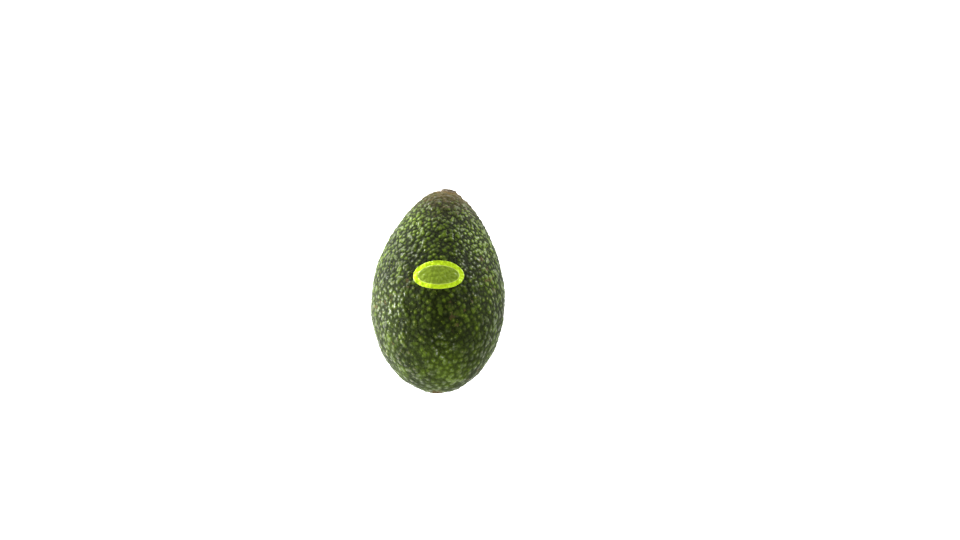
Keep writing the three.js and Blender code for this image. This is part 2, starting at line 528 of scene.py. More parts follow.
@dataclass(frozen=True)
class FruitForm:
    """The fruit's smooth outline as a function of a direction from its middle.

    Attributes:
        breadth: Across the fullest section.
        length: From the blossom end to the stem end, before the dish is taken off.
        depth: Of the fullest section, up and down.
        neck_taper: How much slimmer the stem end is than the blossom end.
        end_slimming: How much slimmer both ends are than an ellipsoid's.
        neck_lean: How far the stem end leans towards +X.
        neck_droop: How far the stem end hangs below the middle.
        neck_bend_power: How late along the body the lean and the droop set in.
        dish_depth: Depth of the dish that the button stands in.
        dish_radius: Where the dish has fallen to 37% of its depth.
        swelling_height: Height of the long waves over the whole body.
        button_aside: How far the dish's middle is towards +X from the tip.
    """

    breadth: float = 68.0
    length: float = 107.4
    depth: float = 66.0
    neck_taper: float = 0.168
    end_slimming: float = 0.127
    neck_lean: float = 2.6
    neck_droop: float = 4.4
    neck_bend_power: float = 2.5
    dish_depth: float = 2.6
    dish_radius: float = 6.0
    swelling_height: float = 0.35
    button_aside: float = 2.7

    @property
    def half(self) -> Array:
        """Half of the breadth, length and depth."""
        return np.array([self.breadth, self.length, self.depth]) / 2.0

    def taper(self, along: Array) -> Array:
        """A section's radius as a share of an ellipsoid's: 1 - taper * along - slimming * along^2."""
        return 1.0 - self.neck_taper * along - self.end_slimming * along**2

    @property
    def fullest(self) -> float:
        """The fullest section's radius, which the taper is divided by so that the breadth is true."""
        along = np.linspace(-1.0, 1.0, 401)
        return float((np.sqrt(1.0 - along**2) * self.taper(along)).max())

    def plain_body(self, directions: Array) -> Array:
        """An ellipsoid tapered towards the stem: direction * half sizes * (s, 1, s), s the taper."""
        swell = self.taper(directions[..., 1]) / self.fullest
        return directions * self.half * np.stack([swell, np.ones_like(swell), swell], axis=-1)

    @property
    def stalk_direction(self) -> Array:
        """The direction of the middle of the dish, where the stalk joined."""
        tip_radius = self.half[0] * float(self.taper(np.array(1.0))) / self.fullest
        return unit(np.array([self.button_aside / tip_radius, 1.0, 0.0]))

    def skin(self, directions: Array) -> Array:
        """The smooth skin.

        The plain body, less a bell-shaped dish at the stalk, plus a bend of the neck that grows with the
        power of the share of the way along, plus three long waves along the direction.

        Args:
            directions: Unit vectors.

        Returns:
            Places, in millimetres from the middle of the plain body.
        """
        place = self.plain_body(directions)
        away = np.linalg.norm(place - self.plain_body(self.stalk_direction[None]), axis=-1)
        bend = ((1.0 + directions[..., 1]) / 2.0) ** self.neck_bend_power
        x, y, z = np.moveaxis(directions, -1, 0)
        swelling = np.sin(5.1 * x + 1.3 * y) + np.sin(4.3 * z - 3.6 * y + 1.7)
        swelling = swelling + np.sin(3.7 * x - 4.9 * z + 0.6)
        place[..., 0] += self.neck_lean * bend
        place[..., 1] -= self.dish_depth * np.exp(-((away / self.dish_radius) ** 2))
        place[..., 2] -= self.neck_droop * bend
        return place + directions * (self.swelling_height * swelling / 3.0)[..., None]

    def normals(self, directions: Array) -> Array:
        """The smooth skin's outward normals, from the cross product of two short steps over it."""
        small = 1e-3
        aside = np.stack([directions[..., 2], 0.0 * directions[..., 1], -directions[..., 0]], axis=-1)
        aside[np.linalg.norm(aside, axis=-1) < 1e-9] = (1.0, 0.0, 0.0)
        aside = unit(aside)
        forward = np.cross(directions, aside)
        here = self.skin(directions)
        ways = [self.skin(unit(directions + small * way)) - here for way in (aside, forward)]
        return unit(np.cross(ways[0], ways[1]))


@dataclass
class FruitSeat:
    """The fruit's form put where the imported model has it.

    Attributes:
        form: The form.
        shift: How far it is moved, in millimetres.
    """

    form: FruitForm
    shift: Array

    @classmethod
    def from_frame(cls, form: FruitForm) -> "FruitSeat":
        """Finds the shift that brings the form's sides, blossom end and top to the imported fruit's."""
        steps = 500
        turn, rise = np.meshgrid(
            np.linspace(0.0, 2.0 * np.pi, steps), np.linspace(-np.pi / 2.0, np.pi / 2.0, steps)
        )
        level = np.cos(rise)
        around = np.stack([level * np.sin(turn), np.sin(rise), level * np.cos(turn)], axis=-1)
        places = form.skin(around.reshape(-1, 3))
        low, high = (np.array(corner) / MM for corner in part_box("fruit"))
        shift = np.array(
            [
                (low[0] + high[0] - places[:, 0].min() - places[:, 0].max()) / 2.0,
                low[1] - places[:, 1].min(),
                high[2] - places[:, 2].max(),
            ]
        )
        return cls(form, shift)

    def skin(self, directions: Array) -> Array:
        """The smooth skin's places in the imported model's frame."""
        return self.form.skin(directions) + self.shift

    @property
    def stalk_place(self) -> Array:
        """The bottom of the dish."""
        return self.skin(self.form.stalk_direction[None])[0]

    @property
    def stalk_upright(self) -> Array:
        """The way the button stands: the dish's normal."""
        return self.form.normals(self.form.stalk_direction[None])[0]

    def round_stalk(self, places: Array) -> Array:
        """Places as seen from the bottom of the dish, with the button's own axis as +Y."""
        sideways = turned_upright(np.eye(3), self.stalk_upright)
        return (places - self.stalk_place) @ sideways.T

    @property
    def blossom_place(self) -> Array:
        """The tip opposite the stem."""
        return self.skin(np.array([[0.0, -1.0, 0.0]]))[0]


def stalk_unevenness(turn: Array) -> Array:
    """How far the button and its groove are from round: 1 plus waves of 2, 3, 5 and 11 to the turn."""
    broad = 0.035 * np.sin(2.0 * turn + 0.3) + 0.035 * np.sin(3.0 * turn + 0.7)
    broad = broad + 0.022 * np.sin(5.0 * turn + 2.1)
    return 1.0 + broad + 0.012 * np.sin(11.0 * turn + 1.5 * np.sin(2.0 * turn))


# --------------------------------------------------------------------------------------------------
# The skin
# --------------------------------------------------------------------------------------------------


class CubeSide(Enum):
    """The six sides of the cube that the skin's grids are spread from: outward, across and up."""

    RIGHT = ((1, 0, 0), (0, 1, 0), (0, 0, 1))
    LEFT = ((-1, 0, 0), (0, -1, 0), (0, 0, 1))
    STEM = ((0, 1, 0), (-1, 0, 0), (0, 0, 1))
    BLOSSOM = ((0, -1, 0), (1, 0, 0), (0, 0, 1))
    TOP = ((0, 0, 1), (1, 0, 0), (0, 1, 0))
    UNDER = ((0, 0, -1), (-1, 0, 0), (0, 1, 0))

    def directions(self, across: int, up: int) -> Array:
        """Unit vectors over the side at equal angles: outward + tan(a) * across + tan(b) * up, made unit.

        Args:
            across: Number of quads across.
            up: Number of quads up.

        Returns:
            A (up + 1, across + 1, 3) grid.
        """
        outward, sideways, upward = (np.array(way, float) for way in self.value)
        a, b = np.meshgrid(
            np.tan(np.linspace(-np.pi / 4.0, np.pi / 4.0, across + 1)),
            np.tan(np.linspace(-np.pi / 4.0, np.pi / 4.0, up + 1)),
        )
        return unit(outward + a[..., None] * sideways + b[..., None] * upward)


@dataclass(frozen=True)
class Pebbles:
    """The skin's pebbles: low domes round scattered middles, parted by narrow valleys.

    Attributes:
        spacing_at_stem: Distance between middles by the stem.
        spacing_at_blossom: Distance between middles at the blossom end.
        scatter: How far a middle strays, as a share of the spacing.
        reach: How many of the nearest middles shape a point.
        seed: Seed of the scatter, and of each pebble's own tone and height.
    """

    spacing_at_stem: float = 1.95
    spacing_at_blossom: float = 2.75
    scatter: float = 0.27
    reach: int = 5
    seed: int = 23

    def spacing(self, along: Array) -> Array:
        """The distance between middles, at a share along from -1 (blossom end) to 1 (stem)."""
        share = (np.asarray(along) + 1.0) / 2.0
        return self.spacing_at_blossom + (self.spacing_at_stem - self.spacing_at_blossom) * share

    def middles(self, seat: FruitSeat) -> Array:
        """Scattered middles over the whole skin.

        A sunflower spiral along the body: each turns by the golden angle from the last, and steps along
        so that each has its share of skin area: the square of the spacing, times 0.866 as hexagons pack.
        Each is then moved a little.

        Args:
            seat: The fruit in its place.

        Returns:
            Places, in millimetres.
        """
        random = np.random.default_rng(self.seed)
        along = np.linspace(-1.0, 1.0, 2001)
        half = seat.form.half
        ring = np.sqrt(np.clip(1.0 - along**2, 0.0, 1.0)) * seat.form.taper(along) / seat.form.fullest
        radius = ring * (half[0] + half[2]) / 2.0
        slope = np.hypot(np.diff(radius), np.diff(along * half[1]))
        band = 2.0 * np.pi * (radius[1:] + radius[:-1]) / 2.0 * slope
        middle = (along[1:] + along[:-1]) / 2.0
        hexagon = 0.866
        wanted = np.cumsum(band / (hexagon * self.spacing(middle) ** 2))
        count = int(wanted[-1])
        numbers = np.arange(count) + 0.5
        y = np.interp(numbers, np.concatenate([[0.0], wanted]), along)
        turn = numbers * np.pi * (3.0 - math.sqrt(5.0))
        across = np.sqrt(np.clip(1.0 - y**2, 0.0, 1.0))
        directions = np.stack([across * np.sin(turn), y, across * np.cos(turn)], axis=-1)
        stray = random.normal(size=(count, 3)) * (self.scatter * self.spacing(y))[:, None]
        return seat.skin(directions) + stray

    def near(self, places: Array, middles: Array) -> tuple[Array, Indices]:
        """The nearest middles of each place, found slab by slab along the body.

        Args:
            places: Where to look from.
            middles: The pebbles' middles.

        Returns:
            The distances and the numbers of the nearest middles, in rising order of distance.
        """
        slab = 4.0
        margin = 7.0
        distances = np.empty((len(places), self.reach))
        numbers = np.empty((len(places), self.reach), np.int64)
        slabs = np.floor(places[:, 1] / slab)
        for level in np.unique(slabs):
            here = np.flatnonzero(slabs == level)
            low = level * slab
            above = middles[:, 1] > low - margin
            candidates = np.flatnonzero(above & (middles[:, 1] < low + slab + margin))
            gaps = places[here][:, None].astype(np.float32) - middles[candidates][None].astype(np.float32)
            squares = np.einsum("ijk,ijk->ij", gaps, gaps)
            nearest = np.argpartition(squares, self.reach, axis=1)[:, : self.reach]
            kept = np.take_along_axis(squares, nearest, axis=1)
            order = np.argsort(kept, axis=1)
            distances[here] = np.sqrt(np.take_along_axis(kept, order, axis=1))
            numbers[here] = candidates[np.take_along_axis(nearest, order, axis=1)]
        return distances, numbers

    def relief(self, places: Array, along: Array, middles: Array) -> dict[str, Array]:
        """How high each place stands on its pebble.

        The height is part bell-shaped domes added up, each of its own size, and part a dome of the
        distance to the nearest border between two pebbles, which parts them with valleys.

        Args:
            places: Places on the smooth skin.
            along: Their share of the way along, -1 to 1.
            middles: The pebbles' middles.

        Returns:
            "pebble": 0 in the valleys to 1 on the tops. "pebble_border": the distance to the border.
            "pebble_tone": a random number of the pebble's own. "pebble_offset": the way from its middle.
        """
        random = np.random.default_rng(self.seed + 1)
        own_tone = random.uniform(0.0, 1.0, len(middles))
        own_height = random.uniform(0.62, 1.0, len(middles))
        distances, numbers = self.near(places, middles)
        spacing = self.spacing(along)
        bell = np.exp(-((distances / (0.47 * spacing)[:, None]) ** 2))
        domes = (bell * own_height[numbers]).sum(axis=1)
        apart = np.linalg.norm(middles[numbers[:, 0]] - middles[numbers[:, 1]], axis=-1)
        border = (distances[:, 1] ** 2 - distances[:, 0] ** 2) / (2.0 * apart)
        cushion = 1.0 - (1.0 - np.clip(border / (0.36 * spacing), 0.0, 1.0)) ** 2
        share = 0.35 + 0.65 * own_height[numbers[:, 0]]
        height = 0.55 * ease(0.28, 1.0, domes) + 0.45 * cushion * share
        return {
            "pebble": np.clip(height, 0.0, 1.0),
            "pebble_border": border,
            "pebble_tone": own_tone[numbers[:, 0]],
            "pebble_offset": places - middles[numbers[:, 0]],
        }


@dataclass(frozen=True)
class PaleAndHighlightPatch:
    """A yellower patch of skin. Those on the two upper shoulders are painted highlights.

    Attributes:
        turn: Where its middle is, round from straight up towards +X, in degrees.
        stemward: How far its middle is towards the stem from the middle of the body.
        radius: Where it has faded to 37%.
        strength: How pale its middle is, up to 1.
    """

    turn: float
    stemward: float
    radius: float
    strength: float

    def share(self, places: Array, seat: FruitSeat) -> Array:
        """How pale each place is: a bell of the distance from the middle, which waves make ragged."""
        y = 2.0 * self.stemward / seat.form.length
        turn, ring = math.radians(self.turn), math.sqrt(1.0 - y * y)
        middle = seat.skin(np.array([[ring * math.sin(turn), y, ring * math.cos(turn)]]))[0]
        away = np.linalg.norm(places - middle, axis=-1) / self.radius + 0.22 * waves(places, 6.0, 51)
        return self.strength * np.exp(-(np.clip(away, 0.0, None) ** 2))


@dataclass
class FruitSkin:
    """The whole skin, with its pebbles, the corky collar round the button and the blossom scar.

    Attributes:
        seat: The fruit in its place.
        pebbles: The pebbles' sizes.
        around: Quads across a quarter of the way round.
        lengthwise: Quads along the body on each side.
        relief_at_stem: Depth of the valleys by the stem.
        relief_at_blossom: Depth of the valleys at the blossom end.
        collar: Where the corky collar ends, from the middle of the dish.
        groove: Inner and outer radius of the groove between the button's foot and the skin.
        groove_depth: How deep the skin goes under the button.
        mean_pebble: The pebbles' mean height, which lies on the smooth skin.
        unevenness: Height of the low unevenness under the pebbles.
        ribs: How many ribs run from the stem.
        rib_height: Their height.
        cracks: How many cracks run out over the collar.
        crack_depth: Their depth.
        lip: Height of the rim round the groove.
        scar_pit: Depth of the pit of the blossom scar.
        scar_ring: Height of the ring round it.
        pale_and_highlight_patches: Where the skin is yellower, and the painted highlights on the two
            upper shoulders.
        middles: The pebbles' middles.
    """

    seat: FruitSeat
    pebbles: Pebbles = field(default_factory=Pebbles)
    around: int = 112
    lengthwise: int = 150
    relief_at_stem: float = 0.72
    relief_at_blossom: float = 0.46
    collar: float = 8.6
    groove: tuple[float, float] = (4.95, 6.0)
    groove_depth: float = 1.75
    mean_pebble: float = 0.4
    unevenness: float = 0.14
    ribs: float = 7.0
    rib_height: float = 0.22
    cracks: float = 15.0
    crack_depth: float = 0.35
    lip: float = 0.45
    scar_pit: float = 0.5
    scar_ring: float = 0.22
    pale_and_highlight_patches: tuple[PaleAndHighlightPatch, ...] = (
        PaleAndHighlightPatch(13.0, -44.0, 10.5, 0.6),
        # The next two are painted highlights on the upper left and upper right shoulders.
        PaleAndHighlightPatch(-36.0, 32.0, 9.0, 1.0),
        PaleAndHighlightPatch(48.0, 22.0, 11.5, 1.0),
        PaleAndHighlightPatch(54.0, 1.0, 7.0, 0.7),
        PaleAndHighlightPatch(-74.0, 14.0, 9.0, 0.6),
        PaleAndHighlightPatch(150.0, -22.0, 13.0, 0.7),
        PaleAndHighlightPatch(-122.0, -8.0, 12.0, 0.7),
        PaleAndHighlightPatch(196.0, 24.0, 10.0, 0.8),
    )
    middles: Array = field(init=False)

    def __post_init__(self) -> None:
        """Scatters the pebbles."""
        self.middles = self.pebbles.middles(self.seat)

    def outline(self, directions: Array) -> dict[str, Array]:
        """The finished skin at some directions, before it is flattened where it rests.

        The smooth skin less, along its normal, the valleys' share of the relief, a low unevenness, the
        ribs that run from the stem, the cracks of the collar less its lip, the groove round the button,
        and the blossom scar: a bell-shaped pit less a ring, and roughness. The ribs are sin(n * turn),
        the cracks 1 - sqrt(abs(sin(n * turn))), and each is eased by the distance from the stalk.

        Args:
            directions: Unit vectors.

        Returns:
            "places", "normals" and the values that the finish reads.
        """
        smooth = self.seat.skin(directions)
        normals = self.seat.form.normals(directions)
        along = directions[:, 1]
        values = self.pebbles.relief(smooth, along, self.middles)
        from_stalk = np.linalg.norm(smooth - self.seat.stalk_place, axis=-1)
        from_blossom = np.linalg.norm(smooth - self.seat.blossom_place, axis=-1)
        from_blossom = from_blossom * (1.0 + 0.1 * waves(smooth, 2.2, 61) * ease(9.0, 3.0, from_blossom))
        stemward = (along + 1.0) / 2.0
        local = self.seat.round_stalk(smooth)
        turn = np.arctan2(local[:, 0], local[:, 2])
        off_axis = np.hypot(local[:, 0], local[:, 2]) + 40.0 * (from_stalk > 30.0)
        from_foot = off_axis / stalk_unevenness(turn)
        relief = self.relief_at_blossom + (self.relief_at_stem - self.relief_at_blossom) * stemward**1.5
        relief = relief * (0.12 + 0.88 * ease(self.groove[1], self.collar + 2.5, from_stalk))
        relief = relief * (0.35 + 0.65 * ease(0.0, 9.0, from_blossom))
        depth = relief * (self.mean_pebble - values["pebble"])
        depth += self.unevenness * waves(smooth, 13.0, 5) * ease(2.0, 12.0, from_stalk)
        ribs = np.sin(self.ribs * turn + 1.1 * np.sin(2.0 * turn + 0.4))
        depth += self.rib_height * ribs * ease(5.5, 9.0, from_stalk) * ease(30.0, 11.0, from_stalk)
        on_collar = ease(self.groove[1] - 0.3, self.groove[1] + 0.3, from_foot) * ease(
            self.collar + 1.5, self.collar - 1.0, from_stalk
        )
        cracks = np.abs(np.sin(self.cracks * turn + 2.2 * waves(smooth, 3.5, 8))) ** 0.5
        lip = self.lip * np.exp(-(((from_foot - self.groove[1] - 0.7) / 0.8) ** 2))
        lip = lip * (1.0 + 0.5 * waves(smooth, 4.0, 9))
        depth += on_collar * (self.crack_depth * (1.0 - cracks) - 0.09 * waves(smooth, 1.6, 10)) - lip
        depth += self.groove_depth * ease(self.groove[1], self.groove[0], from_foot)
        pit = self.scar_pit * np.exp(-((from_blossom / 1.3) ** 2))
        depth += pit - self.scar_ring * np.exp(-(((from_blossom - 2.2) / 0.7) ** 2))
        depth += 0.1 * waves(smooth, 1.1, 62) * ease(3.2, 1.5, from_blossom)
        values.update(
            places=smooth - normals * depth[:, None],
            normals=normals,
            from_stalk=from_stalk,
            from_foot=from_foot,
            from_blossom=from_blossom,
            paleness=np.max([patch.share(smooth, self.seat) for patch in self.pale_and_highlight_patches], axis=0),
        )
        return values

    def surface(self) -> Surface:
        """The skin on six grids, welded along their shared edges and flat at height 0 where it rests."""
        points, quads = [], []
        count = 0
        for side in CubeSide:
            lengthwise = side not in (CubeSide.STEM, CubeSide.BLOSSOM)
            across = self.lengthwise if side in (CubeSide.RIGHT, CubeSide.LEFT) else self.around
            up = self.lengthwise if lengthwise and across == self.around else self.around
            points.append(side.directions(across, up).reshape(-1, 3))
            quads.append(grid_quads(up + 1, across + 1, wraps=False) + count)
            count += len(points[-1])
        directions = np.concatenate(points)
        sphere = Surface(directions, np.concatenate(quads)).welded(directions, 7)
        made = self.outline(unit(sphere.points))
        places = made.pop("places")
        made.pop("normals")
        places[:, 2] = np.maximum(places[:, 2], 0.0)
        return Surface(places, sphere.quads, made)

    def build(self, finish: bpy.types.Material) -> bpy.types.Object:
        """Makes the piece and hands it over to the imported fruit's body."""
        surface = self.surface()
        piece = placed("fruit_skin", surface.mesh("fruit_skin"), finish)
        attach(piece, BODY)
        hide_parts("fruit")
        log.info("fruit_skin: %d pebbles, %d faces", len(self.middles), len(surface.quads))
        return piece


@dataclass(frozen=True)
class SkinFinish:
    """Waxy green skin: painted shade in the valleys, speckled with pale pores, browned towards the stem.

    Every colour is a display colour, 0 to 255. A reach is where a change starts and where it is whole.

    Attributes:
        lengthwise: The reach, from the blossom end, of what changes along the body.
        tint_reach: The reach, from the stalk, of the neck's olive tint.
        brown_reach: The reach of its brown.
        collar_reach: The reach of the corky collar.
        groove_reach: The reach, from the button's foot, of the dark in the groove.
        scar_reach: The reach, from the blossom end, of the blossom scar.
        roughness: Of the pebbles' tops and of the valleys.
        wax: Weight of the wax on the tops.
    """

    # The darkest green is both a darker tone of some pebbles and painted shade in the valleys.
    dark_tone_and_valley_shade: Tint = (20, 24, 6)
    deep_green: Tint = (42, 55, 8)
    mid_green: Tint = (66, 84, 9)
    bright_green: Tint = (116, 145, 16)
    pore: Tint = (160, 172, 72)
    scuff: Tint = (112, 102, 58)
    olive: Tint = (66, 58, 20)
    neck_brown: Tint = (92, 80, 40)
    cork: Tint = (118, 100, 62)
    flake: Tint = (152, 136, 92)
    scar: Tint = (58, 44, 28)
    groove: Tint = (30, 22, 14)
    lengthwise: tuple[float, float] = (10.0, 85.0)
    tint_reach: tuple[float, float] = (36.0, 14.0)
    brown_reach: tuple[float, float] = (23.0, 9.0)
    collar_reach: tuple[float, float] = (9.8, 7.8)
    groove_reach: tuple[float, float] = (6.2, 5.3)
    scar_reach: tuple[float, float] = (2.7, 2.2)
    roughness: tuple[float, float] = (0.42, 0.65)
    wax: float = 0.6

    def build(self, effects: SharedEffects) -> bpy.types.Material:
        """Wires the finish.

        Args:
            effects: The shared effects.

        Returns:
            The material.
        """
        material, wiring, shader = started_finish("avocado_skin")
        place = wiring.millimetres()
        pebble = wiring.attribute("pebble")
        border = wiring.attribute("pebble_border")
        tone = wiring.attribute("pebble_tone")
        offset = wiring.attribute("pebble_offset", vector=True)
        from_stalk = wiring.attribute("from_stalk")
        from_foot = wiring.attribute("from_foot")
        from_blossom = wiring.attribute("from_blossom")

        # Broad greens, then paler patches: random ones and listed ones, of which those on the two upper
        # shoulders are painted highlights.
        broad = wiring.step(wiring.noise(place, 0.06, 2.0), 0.4, 0.62)
        colour = wiring.lay(linear(self.deep_green), linear(self.mid_green), broad)
        patches = effects.mottled(wiring, place, 0.075, breaking=0.5, level=0.64, softness=0.1)
        # The listed patches carry painted highlights on the upper shoulders as well as yellower skin.
        pale = wiring.larger(wiring.times(patches, 0.5), wiring.attribute("paleness"))
        colour = wiring.lay(colour, linear(self.bright_green), wiring.times(pale, 0.85))

        # Each pebble a little lighter or darker, the more so by the stem, and finer flecks over them.
        livelier = wiring.step(from_blossom, *self.lengthwise, 0.16, 0.42)
        lighter = wiring.times(wiring.step(tone, 0.55, 1.0), livelier)
        colour = wiring.lay(colour, linear(self.bright_green), lighter)
        colour = wiring.lay(colour, linear(self.dark_tone_and_valley_shade), wiring.step(tone, 0.45, 0.0, 0.0, 0.38))
        flecks = effects.mottled(wiring, place, 0.9, breaking=0.6, level=0.56, softness=0.07)
        colour = wiring.lay(colour, linear(self.mid_green), wiring.times(flecks, 0.5))

        # Painted shade darkens the valleys, and the tops are lightly scuffed.
        painted_valley_shade = wiring.step(pebble, 0.66, 0.12, 0.0, 0.94)
        painted_valley_shade = wiring.times(painted_valley_shade, wiring.step(from_blossom, *self.lengthwise, 0.58, 1.0))
        colour = wiring.lay(colour, linear(self.dark_tone_and_valley_shade), painted_valley_shade)
        worn = effects.mottled(wiring, place, 0.14, breaking=0.7, level=0.54, softness=0.12)
        tops = wiring.times(wiring.step(pebble, 0.66, 0.95), worn)
        colour = wiring.lay(colour, linear(self.scuff), wiring.times(tops, 0.35))
        rubbed = effects.mottled(wiring, place, 0.05, breaking=0.9, level=0.735, softness=0.035)
        colour = wiring.lay(colour, linear(self.cork), wiring.times(rubbed, 0.4))

        # One pale pore on most pebbles, and smaller ones between.
        size = wiring.line(tone, 0.3, 0.14)
        nearness = wiring.over(wiring.length_of(offset), size)
        pore = wiring.times(wiring.step(nearness, 1.3, 0.5), wiring.step(border, 0.55, 0.75))
        small = wiring.group(effects.dust, Place=place, Scale=0.75, Size=0.17, Rarity=0.45)
        pores = wiring.larger(pore, wiring.times(small, 0.7))
        strength = wiring.step(from_blossom, 5.0, 75.0, 0.34, 0.66)
        colour = wiring.lay(colour, linear(self.pore), wiring.times(pores, strength))

        # The neck browns pebble by pebble, tops first, and cracks finely where it is brownest.
        ragged = wiring.line(wiring.noise(place, 0.24, 4.0), 16.0, -8.0)
        own = wiring.line(tone, 9.0, -4.5)
        raised = wiring.line(pebble, -6.0, 3.0)
        reach = wiring.plus(wiring.plus(from_stalk, ragged), wiring.plus(own, raised))
        brown = wiring.step(reach, *self.brown_reach)
        crazing = wiring.cells(place, 1.6, "DISTANCE_TO_EDGE")
        crazed = wiring.step(crazing.outputs["Distance"], 0.0, 0.12)
        uncracked = wiring.step(crazed, 0.0, 1.0, 0.35, 1.0)
        russet = wiring.lay(linear(self.scar), linear(self.neck_brown), uncracked)
        flaky = effects.mottled(wiring, place, 0.55, breaking=0.8, level=0.52, softness=0.1)
        russet = wiring.lay(russet, linear(self.scuff), wiring.times(flaky, 0.6))
        tinted = wiring.step(reach, *self.tint_reach, 0.0, 0.42)
        colour = wiring.lay(colour, linear(self.olive), tinted)
        colour = wiring.lay(colour, russet, wiring.times(brown, 0.72))

        # The corky collar, dark in the groove, and the blossom scar.
        collar = wiring.step(wiring.line(ragged, 0.16, from_stalk), *self.collar_reach)
        fibres = wiring.step(wiring.noise(place, 1.9, 5.0, 0.7), 0.32, 0.66)
        cork = wiring.lay(linear(self.scar), linear(self.cork), fibres)
        cork = wiring.lay(cork, linear(self.flake), wiring.times(flaky, 0.4))
        colour = wiring.lay(colour, cork, wiring.times(collar, 0.92))
        in_groove = wiring.step(from_foot, *self.groove_reach, 0.0, 0.9)
        colour = wiring.lay(colour, linear(self.groove), in_groove)
        halo = wiring.times(wiring.step(from_blossom, 5.5, 2.2), wiring.step(fibres, 0.2, 0.9))
        colour = wiring.lay(colour, linear(self.neck_brown), wiring.times(halo, 0.7))
        dry = wiring.lay(linear(self.scar), linear(self.cork), wiring.times(fibres, 0.6))
        dry = wiring.lay(dry, linear(self.groove), wiring.step(from_blossom, 1.1, 0.3, 0.0, 0.8))
        scar = wiring.step(from_blossom, *self.scar_reach)
        colour = wiring.lay(colour, dry, wiring.times(scar, 0.95))
        wiring.feed(shader.inputs["Base Color"], colour)

        # Wax shines on the tops and is dull in the valleys, in the pores and on cork.
        top_rough, valley_rough = self.roughness
        waxy = wiring.step(pebble, 0.25, 0.85, valley_rough, top_rough)
        uneven = wiring.line(wiring.noise(place, 0.5, 3.0), 0.2, -0.1)
        corky = wiring.larger(collar, scar)
        dull = wiring.larger(wiring.times(pores, 0.2), wiring.times(corky, 0.35))
        wiring.feed(shader.inputs["Roughness"], wiring.plus(wiring.plus(waxy, uneven), dull))

        # Bumps too small for the mesh.
        knobbly = wiring.group(effects.grain, Place=place, Scale=0.85, Pitting=0.7)
        fine = wiring.group(effects.grain, Place=place, Scale=3.2, Pitting=0.35)
        normal = wiring.bump(knobbly, 0.8, 0.42)
        normal = wiring.bump(fine, 0.6, 0.1, normal)
        normal = wiring.bump(pores, 0.5, 0.06, normal)
        normal = wiring.bump(wiring.times(brown, crazed), 0.6, 0.08, normal)
        wiring.feed(shader.inputs["Normal"], normal)
        shader.inputs["IOR"].default_value = 1.46
        shader.inputs["Specular IOR Level"].default_value = 0.12

        # The wax lies on the tops only, rubbed thin here and there.
        thin = effects.mottled(wiring, place, 0.3, breaking=0.9, level=0.5, softness=0.16)
        wax = wiring.times(wiring.step(pebble, 0.35, 0.85), wiring.step(thin, 0.0, 1.0, 1.0, 0.4))
        wax = wiring.times(wax, wiring.step(dull, 0.0, 0.35, self.wax, 0.0))
        wiring.feed(shader.inputs["Coat Weight"], wax)
        shader.inputs["Coat Roughness"].default_value = 0.24
        return material


# --------------------------------------------------------------------------------------------------
# The button
# --------------------------------------------------------------------------------------------------


